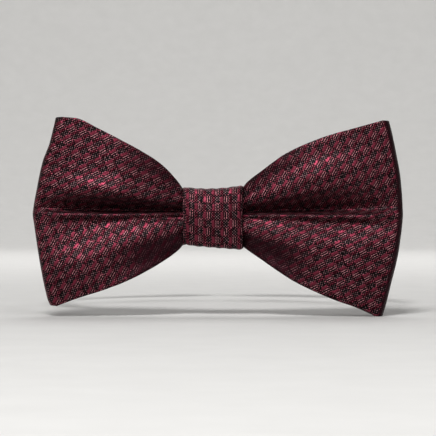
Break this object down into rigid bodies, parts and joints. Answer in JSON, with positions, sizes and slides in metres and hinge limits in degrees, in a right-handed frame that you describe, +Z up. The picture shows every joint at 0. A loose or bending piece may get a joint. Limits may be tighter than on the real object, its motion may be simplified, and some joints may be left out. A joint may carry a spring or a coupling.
{
  "type": "bow tie",
  "caption": "Pre-tied bow tie of woven cloth on an adjustable neckband with a hook, an eye and a sliding adjuster.",
  "frame": {"origin": "middle of the knot's flat back, where it bears on the front of the collar", "axes": "+X to the right as the bow is looked at, +Y back towards the neck, +Z up"},
  "size_m": [0.1244, 0.1382, 0.0637],
  "materials": {
    "woven_cloth": "woven",
    "interlining": "felted",
    "thread": "twisted",
    "metal": "polished"
  },
  "bodies": {
    "bow": {"bow_cloth": "woven_cloth", "bow_interlining": "interlining", "cinch_thread": "thread", "knot_wrap": "woven_cloth", "knot_interlining": "interlining", "neckband_front": "woven_cloth"},
    "left_band": {"neckband_left": "woven_cloth", "eye_tack": "thread"},
    "eye": {"eye": "metal"},
    "right_band": {"neckband_right": "woven_cloth"},
    "hook_fold": {"neckband_hook_fold": "woven_cloth", "neckband_return": "woven_cloth"},
    "hook": {"hook": "metal"},
    "adjuster": {"adjuster_slide": "metal", "neckband_slide_tab": "woven_cloth", "slide_tack": "thread"}
  },
  "joints": [
    {"name": "left_band_swing", "type": "hinge", "parent": "bow", "child": "left_band", "pos_m": [-0.05104, 0.02355, 0], "axis": [0, 0, 1], "range_deg": [0, 60]},
    {"name": "right_band_swing", "type": "hinge", "parent": "bow", "child": "right_band", "pos_m": [0.05104, 0.02355, 0], "axis": [0, 0, -1], "range_deg": [0, 60]},
    {"name": "size_adjust", "type": "hinge", "parent": "right_band", "child": "hook_fold", "pos_m": [0, 0.0591, 0], "axis": [0, 0, -1], "range_deg": [0, 28], "deforming": ["neckband_right"]},
    {"name": "adjuster_run", "type": "hinge", "parent": "hook_fold", "child": "adjuster", "pos_m": [0, 0.0591, 0], "axis": [0, 0, -1], "range_deg": [0, 28], "deforming": ["neckband_return"]},
    {"name": "hook_tilt", "type": "hinge", "parent": "hook_fold", "child": "hook", "pos_m": [0.01655, 0.12087, 0], "axis": [0, 0, 1], "range_deg": [-25, 25]},
    {"name": "eye_tilt", "type": "hinge", "parent": "left_band", "child": "eye", "pos_m": [-0.01655, 0.12087, 0], "axis": [0, 0, 1], "range_deg": [-25, 25]}
  ],
  "couplings": [
    {"joint": "adjuster_run", "follows": "size_adjust", "ratio": 1}
  ]
}
